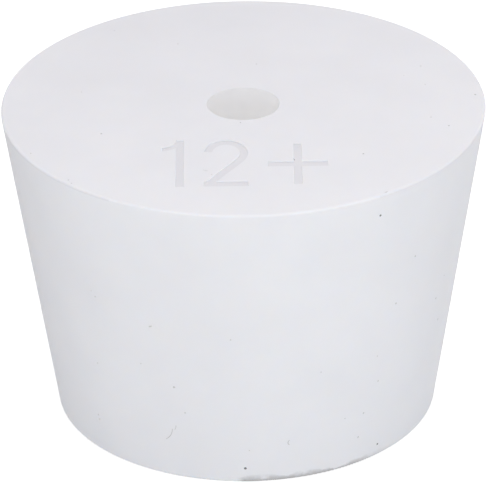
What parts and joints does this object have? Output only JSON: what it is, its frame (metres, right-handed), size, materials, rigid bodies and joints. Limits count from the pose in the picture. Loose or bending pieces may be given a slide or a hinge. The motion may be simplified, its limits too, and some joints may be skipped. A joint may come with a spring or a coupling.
{
  "type": "rubber stopper",
  "caption": "Tapered white rubber stopper with one straight hole along its axis, to close a vessel neck round a tube or airlock.",
  "frame": {"origin": "centre of the small flat end, on the axis of the hole", "axes": "+Z runs along the hole from the small end to the wide end; -Y is the side from which the size mark on the wide face is read"},
  "size_m": [0.0628, 0.0628, 0.0422],
  "materials": {
    "white_silicone": "satin"
  },
  "bodies": {
    "root": {"stopper": "white_silicone"}
  },
  "joints": []
}
